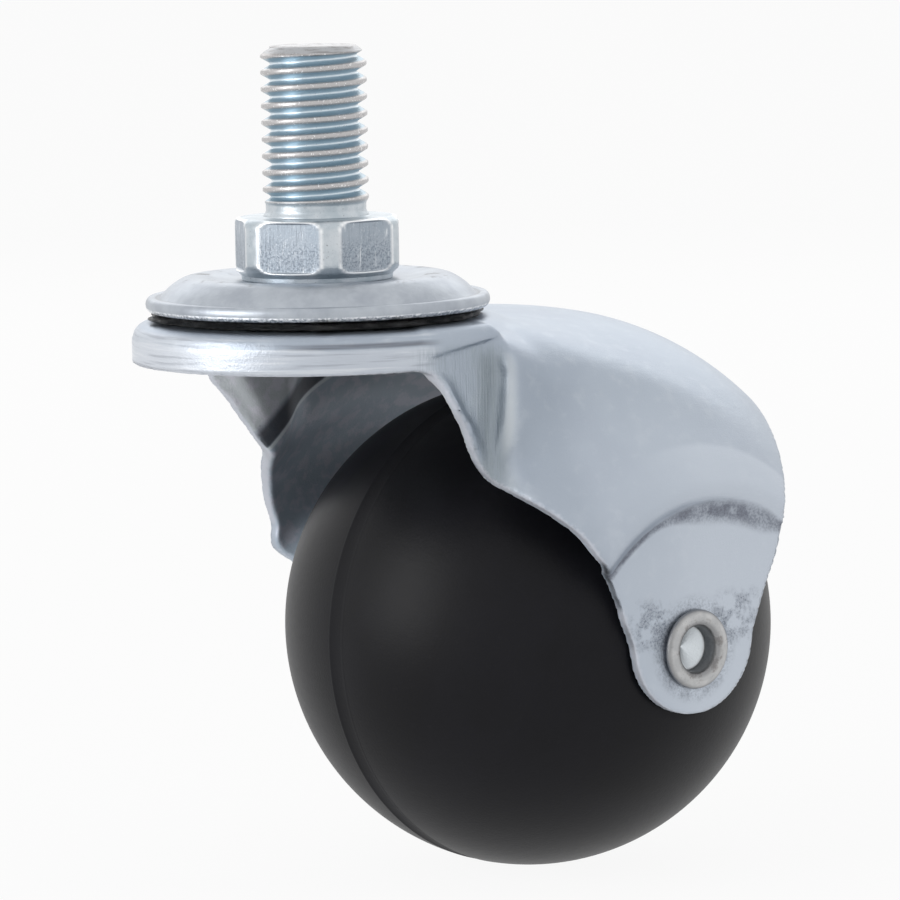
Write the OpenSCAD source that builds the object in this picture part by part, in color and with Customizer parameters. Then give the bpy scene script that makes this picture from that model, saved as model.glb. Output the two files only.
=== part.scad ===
// Hooded swivel ball caster with a threaded stem.
// The stem and its swivel cap stay fixed to the furniture. The hood turns under them on two rings of
// balls, and a moulded ball wheel rolls between the hood's ears, behind the stem.
// Origin: centre of the collar's top face, on the swivel axis. +Z runs up the stem, +X runs from the
// stem to the wheel, and the wheel's axle lies along Y.

/* [Threaded stem] */
// Outside diameter of the stem's thread
stem_d = 8; // [6:0.5:10]
// Length of the stem above the collar
stem_len = 12.8; // [8:0.1:40]
// Chamfer at the stem's free end
stem_chamfer = 0.7; // [0.2:0.1:1.2]
// Pitch of the thread
thread_pitch = 1.25; // [1:0.05:2]
// Depth of the thread
thread_depth = 0.6; // [0.3:0.05:0.75]
// Least length of plain stem between the collar and the thread
plain_len = 0.8; // [0:0.1:5]
// Diameter of the round collar
collar_d = 12.7; // [12:0.1:16]
// Depth of the collar's six pressed spanner flats
flat_depth = 0.55; // [0.2:0.05:0.8]
// Turn of those flats about the stem, in degrees
flat_turn = 32; // [0:1:59]
// Height of the collar
collar_h = 4.3; // [3:0.1:8]
// Chamfer at the collar's top and bottom edges
collar_chamfer = 0.45; // [0.4:0.05:0.5]
// Height left round between each end of the collar and its flats
flat_margin = 0.25; // [0.15:0.05:0.3]
// Diameter of the raised ring under the collar
ring_d = 11.4; // [9.5:0.1:12]
// Height of the raised ring under the collar
ring_h = 0.4; // [0.2:0.1:1.2]

/* [Kingpin] */
// Diameter of the kingpin between the cap and the lower race
kingpin_d = 7; // [6:0.1:7.4]
// Width of the step from the kingpin in to its riveted end
tenon_step = 0.8; // [0.4:0.1:1.2]
// How far the riveted head spreads out past that end
peen_spread = 1.1; // [0.6:0.1:1.4]
// Height of the riveted head
peen_h = 0.7; // [0.4:0.1:1]

/* [Swivel cap] */
// Diameter of the cap over its rim
cap_d = 25.9; // [25:0.1:27.4]
// Thickness of the cap's sheet
cap_sheet = 1.1; // [0.8:0.1:1.3]
// Height of the crown over the ball track above the cap's centre
crown_rise = 0.35; // [0.1:0.05:0.6]
// Width of the crown's flat top
crown_flat = 1.2; // [0.6:0.1:2]
// Width of the ramp up to the crown
crown_ramp = 1.1; // [0.5:0.1:2]
// Distance from the ball circle out to the knee of the cap's slope
knee_out = 1.5; // [1:0.1:2]
// Drop from the cap's centre to that knee
knee_drop = 0.3; // [0.1:0.05:0.5]
// Drop from the cap's centre to the top of its rim
cap_drop = 1.15; // [0.9:0.05:1.8]
// Width of the flat rim around the cap
rim_w = 0.9; // [0.5:0.1:1.2]
// Chamfer at the rim's upper edge
rim_edge = 0.2; // [0.1:0.05:0.4]

/* [Swivel bearing] */
// Diameter of the bearing balls
ball_d = 2.5; // [2:0.1:2.6]
// Clearance between a ball and its track
ball_gap = 0.05; // [0.03:0.01:0.1]
// Depth of the tracks that are pressed into the sheets
track_depth = 0.2; // [0.1:0.05:0.3]
// Distance from the upper ball circle out to the cap's edge
rim_reach = 3.55; // [3.2:0.05:3.9]
// Number of balls in the upper ring
upper_balls = 20; // [12:1:22]
// Number of balls in the lower ring
lower_balls = 12; // [8:1:12]
// Clearance around the kingpin in the hood
kingpin_gap = 0.3; // [0.2:0.05:0.4]
// Sheet left between that hole and the lower balls
lower_margin = 0.15; // [0.05:0.05:0.4]
// Thickness of the lower race
lower_race_sheet = 1; // [0.7:0.1:1.2]
// Width of the lower race outside its balls
race_margin = 0.35; // [0.2:0.05:0.6]

/* [Hood top] */
// Thickness of the hood's sheet
hood_sheet = 1.1; // [0.8:0.1:1.3]
// How far the round cup stands out past the cap
cup_ledge = 1.1; // [0.9:0.05:1.6]
// Gap between the cap's rim and the cup, where the grease shows
cap_gap = 0.75; // [0.5:0.05:1.2]
// Height of the skirt in front of the cup, measured from the cup's shoulder
skirt_h = 3.05; // [2.4:0.05:4]
// Outside radius of the cup's shoulder
shoulder_r = 1.4; // [1.2:0.1:1.8]
// Width of the dished floor outside the upper balls
dish_margin = 0.65; // [0.4:0.05:0.9]
// Width of the slope between the dished floor and the shoulder
dish_slope = 0.5; // [0.3:0.05:0.8]
// Rise of the hood's centre over its ball floor
boss_rise = 1.8; // [1.4:0.1:2]
// Width of the ball floor inside the upper balls
boss_margin = 0.15; // [0.05:0.05:0.4]
// Width of the slope up to the raised centre
boss_slope = 1.2; // [0.8:0.1:1.6]

/* [Hood body] */
// How far the straight neck stands out past the cup on each side
neck_step = 0.25; // [0.1:0.05:0.6]
// Distance from the swivel axis to the step where the hood widens
step_x = 5.6; // [5:0.1:8]
// How far the body stands out past the neck on each side
body_step = 1.1; // [0.6:0.1:1.6]
// Outside radius of the body's upper edges
body_r = 6; // [4:0.25:8]
// Distance from the step back to the crest of the body
crest_back = 4.4; // [2:0.1:6]
// Radius of the crest, seen from the side
crest_r = 60; // [40:5:90]
// Radius that rounds the body's upper corners down to the dome
corner_r = 33.6; // [30:0.2:36]
// Distance from the step back to the centre of that rounding
corner_back = 0.9; // [0:0.1:2]
// Gap between the ball wheel and the dome over it
dome_room = 4.6; // [3.5:0.1:6]
// How far the dome's top lies below the cup's shoulder
dome_dip = 0.5; // [0.2:0.1:1]
// How far the dome's flattened cheeks stand out past the ears
cheek_swell = 1.4; // [0.8:0.1:2]
// Diameter of the flat pad pressed into each cheek, whose edge crosses the ear above the axle
pad_d = 26.6; // [24:0.2:28]
// Distance from the axle back to the pad's centre
pad_back = 1.6; // [0:0.1:3]
// Depth of the pad's centre below the axle
pad_drop = 2.5; // [1.5:0.1:4]
// Half of the width of each ear's round end
ear_half = 6.05; // [5.4:0.05:6.8]
// Height of each ear's round end
ear_round = 5.6; // [5:0.1:6.4]
// Depth of the ear's lowest point below the axle
ear_drop = 5; // [4.4:0.1:5.6]

/* [Ball wheel] */
// Diameter of the ball wheel
wheel_d = 38; // [35:0.5:40]
// Distance from the swivel axis back to the wheel's axle
trail = 20; // [19:0.1:21]
// Depth that each flat hub face is cut back from the ball
hub_cut = 0.8; // [0.5:0.1:1.5]
// Gap between the wheel's hub and each ear
hub_gap = 0.3; // [0.15:0.05:0.6]
// Width of the shallow band around the wheel's middle
band_w = 1.6; // [0.8:0.1:3]
// Depth of the shallow band
band_depth = 0.15; // [0.05:0.05:0.4]

/* [Axle rivet] */
// Diameter of the axle
axle_d = 4.8; // [3.6:0.1:5.4]
// Clearance of the wheel on its axle
axle_gap = 0.08; // [0.02:0.01:0.1]
// How far the rolled end of the axle spreads out past it
roll_spread = 0.65; // [0.5:0.05:1]
// Height of the rolled end over the ear
rolled_h = 0.7; // [0.4:0.1:1]
// Wall of the axle around the hole in its rolled end
tube_wall = 0.7; // [0.5:0.05:1.2]
// Depth of that hole before its cone
rivet_hole_depth = 1.5; // [1:0.1:8]
// Depth of the cone at the bottom of the hole
rivet_cone = 0.8; // [0.5:0.1:2]
// How far the formed head on the far side spreads out past the axle
head_spread = 1.3; // [0.8:0.1:2]
// Height of the formed head
head_h = 0.7; // [0.4:0.1:0.8]

/* [Hidden] */
far = 100;        // longer than any part of the caster, for cuts that run right out
lap = 0.1;        // overlap that joins two forms of one sheet
neck_lap = 2.4;   // how far the neck runs on inside the body
wall_low = 8;     // height above the axle where the straight walls end inside the dome
bend_shift = 0.45; // how far a slope's lower bend lies inside its upper one, for an even sheet
least_r = 0.3;    // smallest radius left inside a bend
drawn_dome_r = 24.7; // dome radius that the two side edges below were drawn for

stem_r = stem_d / 2;
thread_end = stem_len - stem_chamfer;
thread_turns = floor((thread_end - plain_len) / thread_pitch);
thread_foot = thread_end - thread_turns * thread_pitch; // end of the plain stem under the thread
crest_w = thread_pitch / 4;                             // flat left on each crest
root_w = thread_pitch / 6;                              // flat at the bottom of each groove
flank_w = (thread_pitch - crest_w - root_w) / 2;
collar_r = collar_d / 2;
kingpin_r = kingpin_d / 2;
tenon_r = kingpin_r - tenon_step;
peen_r = tenon_r + peen_spread;
cap_r = cap_d / 2;
cup_r = cap_r + cup_ledge;
neck_half = cup_r + neck_step;
body_half = neck_half + body_step;
upper_pitch_r = cap_r - rim_reach;
hood_hole_r = kingpin_r + kingpin_gap;
lower_pitch_r = hood_hole_r + lower_margin + ball_d / 2;
lower_race_r = lower_pitch_r + ball_d / 2 + race_margin;
dish_r = upper_pitch_r + ball_d / 2 + dish_margin;
floor_r = upper_pitch_r - ball_d / 2 - boss_margin;   // inner edge of the flat ball floor
boss_r = floor_r - boss_slope;                        // edge of the raised centre
wheel_r = wheel_d / 2;
dome_r = wheel_r + dome_room + hood_sheet;
hub_half = wheel_r - hub_cut;
ear_out = hub_half + hub_gap + hood_sheet;            // outer face of each ear
cheek_out = ear_out + cheek_swell;
pad_r = pad_d / 2;
axle_r = axle_d / 2;
rivet_hole_r = axle_r - tube_wall;

track_r = ball_d / 2 + ball_gap;
track_step = track_r - track_depth;                   // from the plane of a ring's balls to the sheet
collar_bottom = -collar_h;
cap_top = collar_bottom - ring_h;                     // top of the cap's sheet at its centre
cap_under = cap_top - cap_sheet;
rim_top = cap_top - cap_drop;
rim_under = rim_top - cap_sheet;
shoulder_z = rim_under - cap_gap;                     // top of the hood's cup
skirt_z = shoulder_z - skirt_h;
upper_ball_z = cap_under - track_step;
floor_top = upper_ball_z - track_step;
floor_under = floor_top - hood_sheet;
boss_top = floor_top + boss_rise;
boss_under = boss_top - hood_sheet;
lower_ball_z = boss_under - track_step;
lower_race_top = lower_ball_z - track_step;
lower_race_under = lower_race_top - lower_race_sheet;
peen_bottom = lower_race_under - peen_h;
axle_z = shoulder_z - dome_dip - dome_r;

// Side edges of the hood, as X and Z from the wheel's axle. Each is a smooth line through a few points:
// up the rear of the ear to the lip over the wheel, and from the skirt down the leg to the ear.
rear_edge = [[6.2, 0], [7.3, 3.9], [8.4, 6.2], [9, 8.4], [8.8, 9.8], [9.1, 10.9], [10.5, 12.8],
             [12.8, 15.7], [14.6, 17.3], [16.5, 18.4]];
front_edge = [[-21.6, 22.15], [-20.2, 21.7], [-19.1, 19.4], [-17.9, 17.9], [-16.5, 15.7],
              [-15.4, 14.1], [-13.8, 12.6], [-12.2, 11.1], [-10.9, 9.6], [-10, 8.1], [-8.9, 6.4],
              [-7.9, 5], [-7, 3.7], [-6.4, 2.1], [-6.15, 0.6]];
edge_steps = 4; // points on each span of a side edge
arc_step = 12;  // degrees between points on the ear's round end

// One span of a smooth curve through a, b, c and d, from b to c
function span(a, b, c, d, t) =
    (2 * b + (c - a) * t + (2 * a - 5 * b + 4 * c - d) * t * t + (3 * b - a - 3 * c + d) * t * t * t) / 2;
// A smooth curve through the points of a list
function smooth(p) = [
    for (i = [0:len(p) - 2], k = [0:edge_steps - 1])
        span(p[max(i - 1, 0)], p[i], p[i + 1], p[min(i + 2, len(p) - 1)], k / edge_steps),
    p[len(p) - 1]
];
// Points of a side edge, sized to the dome and moved to the axle
function at_axle(p) = [for (q = p) [trail, axle_z] + q * dome_r / drawn_dome_r];

// --- threaded stem -------------------------------------------------------------------------------

// Round collar with six flats that stop short of its chamfered ends
module collar() {
    difference() {
        translate([0, 0, collar_bottom])
            rotate_extrude($fn = 64)
                polygon([
                    [0, 0],
                    [collar_r - collar_chamfer, 0],
                    [collar_r, collar_chamfer],
                    [collar_r, collar_h - collar_chamfer],
                    [collar_r - collar_chamfer, collar_h],
                    [0, collar_h]
                ]);
        for (a = [0:60:300])
            rotate([0, 0, a + flat_turn])
                translate([collar_r - flat_depth, -collar_r, collar_bottom + flat_margin])
                    cube([collar_r, collar_d, collar_h - 2 * flat_margin]);
    }
}

// Threaded end: each turn of the thread is a ring of its own, with a groove under its crest
module thread() {
    groove = [[0, 0], [thread_depth, flank_w], [thread_depth, flank_w + root_w], [0, thread_pitch - crest_w]];
    rotate_extrude($fn = 48)
        polygon(concat(
            [[0, 0], [stem_r, 0]],
            [for (i = [0:thread_turns - 1], p = groove)
                [stem_r - p[0], thread_foot + i * thread_pitch + p[1]]],
            [[stem_r, thread_end], [stem_r - stem_chamfer, stem_len], [0, stem_len]]
        ));
}

// Forged stem: threaded end, collar, kingpin and the head riveted over under the lower race
module threaded_stem() {
    color("silver") {
        collar();
        thread();
        translate([0, 0, cap_top])
            cylinder(d = ring_d, h = ring_h, $fn = 64);
        translate([0, 0, lower_race_top])
            cylinder(r = kingpin_r, h = cap_top - lower_race_top, $fn = 64);
        translate([0, 0, peen_bottom])
            cylinder(r = tenon_r, h = lower_race_top - peen_bottom, $fn = 64);
        translate([0, 0, peen_bottom])
            cylinder(r1 = peen_r - peen_h / 2, r2 = peen_r, h = peen_h, $fn = 64);
    }
}

// --- swivel cap and bearing ----------------------------------------------------------------------

// Groove that the balls of one ring run in
module track(pitch_r, z) {
    translate([0, 0, z])
        rotate_extrude($fn = 64)
            translate([pitch_r, 0])
                circle(r = track_r, $fn = 48);
}

// Pressed cap: flat centre, crown over the ball track, sloping shoulder and flat rim
module swivel_cap() {
    slope_end = cap_r - rim_w;
    crown_out = upper_pitch_r + crown_flat / 4;
    crown_in = crown_out - crown_flat;
    color("gainsboro")
        difference() {
            rotate_extrude($fn = 96)
                polygon([
                    [kingpin_r, cap_top],
                    [crown_in - crown_ramp, cap_top],
                    [crown_in, cap_top + crown_rise],
                    [crown_out, cap_top + crown_rise],
                    [upper_pitch_r + knee_out, cap_top - knee_drop],
                    [slope_end, rim_top],
                    [cap_r - rim_edge, rim_top],
                    [cap_r, rim_top - rim_edge],
                    [cap_r, rim_under],
                    [slope_end - bend_shift, rim_under],
                    [upper_pitch_r + knee_out - bend_shift, cap_under - knee_drop],
                    [kingpin_r, cap_under]
                ]);
            track(upper_pitch_r, upper_ball_z);
        }
}

// Flat race that carries the lower ring of balls, held by the riveted head
module lower_race() {
    color("silver")
        difference() {
            translate([0, 0, lower_race_under])
                cylinder(r = lower_race_r, h = lower_race_sheet, $fn = 64);
            cylinder(r = tenon_r, h = far, center = true, $fn = 64);
            track(lower_pitch_r, lower_ball_z);
        }
}

// One ball of a ring, turned to its place
module bearing_ball(i, count, pitch_r, z) {
    color("lightsteelblue")
        rotate([0, 0, i * 360 / count])
            translate([pitch_r, 0, z])
                sphere(d = ball_d, $fn = 32);
}

// --- hood ----------------------------------------------------------------------------------------

// Round cup at the top of the hood, with a rounded shoulder, set in by inset
module cup_form(inset) {
    r = cup_r - inset;
    round_r = max(shoulder_r - inset, least_r);
    top = shoulder_z - inset;
    bottom = skirt_z - hood_sheet;
    rotate_extrude($fn = 96)
        union() {
            translate([0, bottom])
                square([r, top - round_r - bottom]);
            translate([0, bottom])
                square([r - round_r, top - bottom]);
            translate([r - round_r, top - round_r])
                circle(r = round_r, $fn = 48);
        }
}

// A bar along X from x0 to x1, half as wide as half_w, with its two upper edges rounded
module round_topped_bar(x0, x1, half_w, edge_r, top) {
    bottom = axle_z + wall_low;
    translate([x0, 0, 0])
        rotate([90, 0, 90])
            linear_extrude(x1 - x0)
                union() {
                    translate([-half_w, bottom])
                        square([2 * half_w, top - edge_r - bottom]);
                    translate([edge_r - half_w, bottom])
                        square([2 * (half_w - edge_r), top - bottom]);
                    for (s = [-1, 1])
                        translate([s * (half_w - edge_r), top - edge_r])
                            circle(r = edge_r, $fn = 64);
                }
}

// Wider body behind the step: its crest and its upper corners run down into the dome
module body_form(inset) {
    flat_half = body_half - body_r;
    corner_depth = sqrt(pow(corner_r, 2) - pow(flat_half, 2));
    intersection() {
        round_topped_bar(step_x + inset, trail + dome_r / 2, body_half - inset, body_r - inset,
                         shoulder_z - inset);
        translate([step_x + crest_back, 0, shoulder_z - crest_r])
            rotate([90, 0, 0])
                cylinder(r = crest_r - inset, h = far, center = true, $fn = 96);
        translate([step_x + corner_back, 0, shoulder_z - corner_depth])
            sphere(r = corner_r - inset, $fn = 96);
    }
}

// Full outer form of the hood, set in by inset: cup, straight neck, wider body and dome
module hood_form(inset) {
    cup_form(inset);
    round_topped_bar(0, step_x + neck_lap - inset, neck_half - inset,
                     max(shoulder_r - inset, least_r), shoulder_z - inset);
    body_form(inset);
    translate([trail, 0, axle_z])
        intersection() {
            sphere(r = dome_r - inset, $fn = 96);
            cube([far, 2 * (cheek_out - inset), far], center = true);
        }
}

// Space outside the flat pads that are pressed into the cheeks around the axle
module pad_cut(inset) {
    for (s = [-1, 1])
        translate([trail + pad_back, s * (ear_out - inset + far / 2), axle_z - pad_drop])
            rotate([90, 0, 0])
                cylinder(r = pad_r + inset, h = far, center = true, $fn = 64);
}

// What is kept of the form, seen from the side
module side_outline() {
    lip = at_axle(rear_edge)[len(rear_edge) - 1];
    polygon(concat(
        [[lip[0] + dome_r, lip[1]], [lip[0] + dome_r, 0], [-2 * cup_r, 0], [-2 * cup_r, skirt_z]],
        smooth(at_axle(front_edge)),
        [for (a = [180 + arc_step / 2:arc_step:360])
            [trail + ear_half * cos(a), axle_z + ear_round - ear_drop + ear_round * sin(a)]],
        smooth(at_axle(rear_edge))
    ));
}

// Sheet at the bottom of the cup: raised centre, slope and ball floor up to the shoulder
module cup_floor() {
    rotate_extrude($fn = 96)
        polygon([
            [hood_hole_r, boss_top],
            [boss_r, boss_top],
            [floor_r, floor_top],
            [dish_r - dish_slope, floor_top],
            [dish_r, shoulder_z],
            [dish_r + lap, shoulder_z],
            [dish_r + lap, shoulder_z - hood_sheet],
            [dish_r - dish_slope + bend_shift, floor_under],
            [floor_r - bend_shift, floor_under],
            [boss_r - bend_shift, boss_under],
            [hood_hole_r, boss_under]
        ]);
}

// Pressed hood: one sheet that forms the cup, the neck, the dome and both ears
module hood() {
    color("lightslategray")
        difference() {
            union() {
                intersection() {
                    difference() {
                        hood_form(0);
                        pad_cut(0);
                        difference() {
                            hood_form(hood_sheet);
                            pad_cut(hood_sheet);
                        }
                        translate([0, 0, skirt_z])
                            cylinder(r = dish_r, h = far, $fn = 96);
                    }
                    rotate([90, 0, 0])
                        linear_extrude(far, center = true)
                            side_outline();
                }
                cup_floor();
            }
            track(upper_pitch_r, upper_ball_z);
            track(lower_pitch_r, lower_ball_z);
            translate([trail, 0, axle_z])
                rotate([90, 0, 0])
                    cylinder(r = axle_r, h = far, center = true, $fn = 48);
        }
}

// --- wheel and axle ------------------------------------------------------------------------------

// Moulded ball with flat hubs, a shallow band around its middle and a bore for the axle
module ball_wheel() {
    color("#202225")
        translate([trail, 0, axle_z])
            rotate([90, 0, 0])
                difference() {
                    sphere(r = wheel_r, $fn = 96);
                    for (s = [-1, 1])
                        translate([0, 0, s * (hub_half + wheel_r)])
                            cube(wheel_d, center = true);
                    difference() {
                        cylinder(r = wheel_d, h = band_w, center = true, $fn = 96);
                        cylinder(r = wheel_r - band_depth, h = wheel_d, center = true, $fn = 96);
                    }
                    cylinder(r = axle_r + axle_gap, h = far, center = true, $fn = 48);
                }
}

// Half section of the rolled end
module rolled_profile() {
    edge_r = rolled_h / 2;
    flat_r = axle_r + roll_spread - edge_r;
    square([flat_r, rolled_h]);
    translate([flat_r, edge_r])
        circle(r = edge_r, $fn = 32);
}

// Semi-tubular rivet: rolled open end at the near ear, formed head at the far ear
module axle_rivet() {
    hole_end = ear_out + rolled_h - rivet_hole_depth;
    color("silver")
        translate([trail, 0, axle_z])
            rotate([90, 0, 0])
                difference() {
                    union() {
                        cylinder(r = axle_r, h = 2 * ear_out, center = true, $fn = 48);
                        translate([0, 0, ear_out])
                            rotate_extrude($fn = 48)
                                rolled_profile();
                        translate([0, 0, -ear_out - head_h])
                            cylinder(r1 = axle_r + head_spread - head_h, r2 = axle_r + head_spread,
                                     h = head_h, $fn = 48);
                    }
                    translate([0, 0, hole_end])
                        cylinder(r = rivet_hole_r, h = far, $fn = 48);
                    translate([0, 0, hole_end - rivet_cone])
                        cylinder(r1 = 0, r2 = rivet_hole_r, h = rivet_cone, $fn = 48);
                }
}

threaded_stem();
swivel_cap();
hood();
lower_race();
axle_rivet();
ball_wheel();
for (i = [1:upper_balls])
    bearing_ball(i, upper_balls, upper_pitch_r, upper_ball_z);
for (i = [1:lower_balls])
    bearing_ball(i, lower_balls, lower_pitch_r, lower_ball_z);
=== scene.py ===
# Hooded swivel ball caster: a zinc-plated hood on a greased ball swivel, a threaded stem and a black
# moulded ball wheel. Each section below makes one piece, from the stem down to the wheel.
import bmesh
import bpy
import math
import numpy as np
from mathutils import Matrix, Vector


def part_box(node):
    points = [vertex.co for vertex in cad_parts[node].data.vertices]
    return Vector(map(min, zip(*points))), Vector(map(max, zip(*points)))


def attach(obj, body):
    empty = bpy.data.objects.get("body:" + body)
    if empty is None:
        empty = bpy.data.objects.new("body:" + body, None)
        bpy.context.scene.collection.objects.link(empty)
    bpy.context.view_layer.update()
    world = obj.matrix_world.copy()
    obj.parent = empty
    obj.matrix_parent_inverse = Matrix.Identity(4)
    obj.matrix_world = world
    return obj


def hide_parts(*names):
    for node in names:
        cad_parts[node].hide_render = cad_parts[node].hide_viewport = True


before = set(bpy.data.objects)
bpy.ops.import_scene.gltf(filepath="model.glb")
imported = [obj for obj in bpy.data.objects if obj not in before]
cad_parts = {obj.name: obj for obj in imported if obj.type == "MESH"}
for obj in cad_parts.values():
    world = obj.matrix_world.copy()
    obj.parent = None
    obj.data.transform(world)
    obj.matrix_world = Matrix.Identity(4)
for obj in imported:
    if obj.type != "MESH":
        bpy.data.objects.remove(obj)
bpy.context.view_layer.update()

# --- Studio --------------------------------------------------------------------------------------
# A pale floor right under the wheel, two soft lamps and a plain pale surround. The camera stands in
# front of the caster, a little above it, on the stem's side.

camera = bpy.data.objects.new("studio_camera", bpy.data.cameras.new("studio_camera"))
bpy.context.scene.collection.objects.link(camera)
camera.data.sensor_width = 36
camera.data.lens = 203.74
camera.data.clip_start = 0.01
camera_turn = (Matrix.Rotation(math.radians(-38.766), 4, "Z")
               @ Matrix.Rotation(math.radians(90 - 6.602), 4, "X")
               @ Matrix.Rotation(math.radians(-0.961), 4, "Z"))
camera.matrix_world = Matrix.Translation((-0.23138, -0.30368, 0.02631)) @ camera_turn
bpy.context.scene.camera = camera
bpy.context.scene.view_settings.view_transform = "Standard"


class Value:
    """A number, colour or vector in a node tree, which can be used in plain sums."""

    def __init__(self, nodes, socket):
        self.nodes = nodes
        self.socket = socket

    def sum_with(self, operation, *others):
        return self.nodes.node("Math", [self, *others], operation=operation)

    def __add__(self, other):
        return self.sum_with("ADD", other)

    def __mul__(self, other):
        return self.sum_with("MULTIPLY", other)

    def __sub__(self, other):
        return self.sum_with("SUBTRACT", other)

    def __rsub__(self, other):
        return self.nodes.node("Math", [other, self], operation="SUBTRACT")

    def __truediv__(self, other):
        return self.sum_with("DIVIDE", other)

    __radd__ = __add__
    __rmul__ = __mul__

    def larger(self, other):
        return self.sum_with("MAXIMUM", other)

    def size(self):
        return self.sum_with("ABSOLUTE")

    def root(self):
        return self.sum_with("SQRT")

    def between(self, low, high):
        """0 below low, 1 above high and smooth between them; low may be the larger of the two."""
        return self.nodes.node("MapRange", {"Value": self, "From Min": low, "From Max": high},
                               interpolation_type="SMOOTHSTEP")


class Nodes:
    """A node tree, with one way to add a node to it."""

    def __init__(self, tree):
        self.tree = tree

    def put(self, socket, value):
        if isinstance(value, Value):
            self.tree.links.new(value.socket, socket)
        elif value is not None:
            socket.default_value = value

    def node(self, kind, inputs=(), output=0, **settings):
        made = self.tree.nodes.new("ShaderNode" + kind)
        for key, value in settings.items():
            setattr(made, key, value)
        pairs = inputs.items() if isinstance(inputs, dict) else enumerate(inputs)
        for key, value in pairs:
            self.put(made.inputs[key], value)
        return Value(self, made.outputs[output])

    def shown(self):
        """1 for a ray from the camera or off metal or through glass, and 0 for one that brings light."""
        seen = self.node("LightPath", output="Is Camera Ray")
        for kind in ("Is Glossy Ray", "Is Transmission Ray"):
            seen = seen.larger(self.node("LightPath", output=kind))
        return seen


class Finish(Nodes):
    """One material, with its main shader and the patterns that the pieces share."""

    def __init__(self, name, **plain):
        self.material = bpy.data.materials.new(name)
        self.material.use_nodes = True
        super().__init__(self.material.node_tree)
        self.shader = self.tree.nodes["Principled BSDF"]
        for socket, value in plain.items():
            self.shader.inputs[socket.replace("_", " ")].default_value = value

    def set(self, **sockets):
        for name, value in sockets.items():
            self.put(self.shader.inputs[name.replace("_", " ")], value)
        return self.material

    def place(self):
        """The point on the piece, in millimetres from the frame's origin, as a vector."""
        point = self.node("TexCoord", output="Object")
        return self.node("VectorMath", {0: point, 1: (1000, 1000, 1000)}, operation="MULTIPLY")

    def parts(self, vector):
        split = self.node("SeparateXYZ", [vector]).socket.node
        return [Value(self, split.outputs[axis]) for axis in "XYZ"]

    def stretched(self, vector, *scale):
        return self.node("VectorMath", {0: vector, 1: scale}, operation="MULTIPLY")

    def noise(self, vector, scale, detail=3, rough=0.55):
        return self.node("TexNoise", {"Vector": vector, "Scale": scale, "Detail": detail,
                                      "Roughness": rough})

    def mix(self, amount, low, high):
        """Two colours, mixed by an amount from 0 to 1."""
        colours = {"Factor": amount, 6: low, 7: high}
        return self.node("Mix", colours, output=2, data_type="RGBA")

    def bump(self, height, distance, strength=1.0, under=None):
        """Relief of a height from 0 to 1, over a distance in millimetres."""
        return self.node("Bump", {"Height": height, "Distance": distance / 1000,
                                  "Strength": strength, "Normal": under})


def colour(red, green, blue):
    """A colour from its values on a screen, 0 to 255."""
    def linear(v):
        v = v / 255
        return v / 12.92 if v <= 0.04045 else ((v + 0.055) / 1.055) ** 2.4
    return (linear(red), linear(green), linear(blue), 1.0)


floor_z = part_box("ball_wheel")[0][2]
floor_half = 3.0
floor_glow = 0.92       # how much of the floor shows as plain white; the rest shows the shadow
room_light = 0.55       # the surround's light on the caster, while it shows as plain white itself
floor_mesh = bpy.data.meshes.new("floor")
floor_mesh.from_pydata([(-floor_half, -floor_half, floor_z), (floor_half, -floor_half, floor_z),
                        (floor_half, floor_half, floor_z), (-floor_half, floor_half, floor_z)],
                       [], [(0, 1, 2, 3)])
floor = bpy.data.objects.new("floor", floor_mesh)
bpy.context.scene.collection.objects.link(floor)
floor_white = Finish("floor_white", Base_Color=(0.9, 0.9, 0.9, 1), Roughness=1.0,
                     Specular_IOR_Level=0.0)
lit = Value(floor_white, floor_white.shader.outputs[0])
white = floor_white.node("Emission", {"Color": (1, 1, 1, 1), "Strength": 1.0})
both = floor_white.node("MixShader", [floor_white.shown() * floor_glow, lit, white])
floor_white.put(floor_white.tree.nodes["Material Output"].inputs["Surface"], both)
floor_mesh.materials.append(floor_white.material)

world = bpy.data.worlds.new("studio")
bpy.context.scene.world = world
world.use_nodes = True
sky = Nodes(world.node_tree)
background = sky.tree.nodes["Background"]
background.inputs["Color"].default_value = (1, 1, 1, 1)
sky.put(background.inputs["Strength"], sky.shown() * (1 - room_light) + room_light)


def lamp(name, place, aim, width, height, watts):
    data = bpy.data.lights.new(name, "AREA")
    data.shape = "RECTANGLE"
    data.size = width
    data.size_y = height
    data.energy = watts
    made = bpy.data.objects.new(name, data)
    bpy.context.scene.collection.objects.link(made)
    made.location = place
    way = (np.array(place) - np.array(aim)) / np.linalg.norm(np.array(place) - np.array(aim))
    side = np.cross((0, 0, 1), way)
    side /= np.linalg.norm(side)
    up = np.cross(way, side)
    made.rotation_euler = Matrix(np.array([side, up, way]).T.tolist()).to_euler()
    return made


lamp("back_lamp", (0.32, 0.42, 0.27), (0.015, 0, -0.02), 0.8, 0.3, 0.6)
lamp("side_lamp", (-0.58, 0.10, 0.14), (0.015, 0, -0.03), 0.30, 0.45, 1.4)

# --- Threaded stem -------------------------------------------------------------------------------
# The stem is one forged and zinc-plated steel piece. Its M8 thread is rolled, and the round collar
# carries six spanner flats pressed in between its rounded corners. The kingpin below holds the swivel
# together and is riveted over under the lower race.

mm = 0.001
stem_top = 12.8
thread_pitch = 1.25
crest_r = 3.98
root_r = 3.27
foot_r = 3.77           # plain stem under the thread
thread_end = 0.95       # height above the collar where the thread runs out
chamfer = 0.72
collar_r = 6.34
flat_r = 5.79           # from the axis to each pressed flat
flat_half = 2.5         # half of a flat's width
collar_low = -4.3
ring_r = 5.68
cap_z = -4.7
kingpin_r = 3.5
tenon_r = 2.7
peen_r = 3.8
race_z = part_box("lower_race")
peen_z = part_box("threaded_stem")[0][2] / mm


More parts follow.
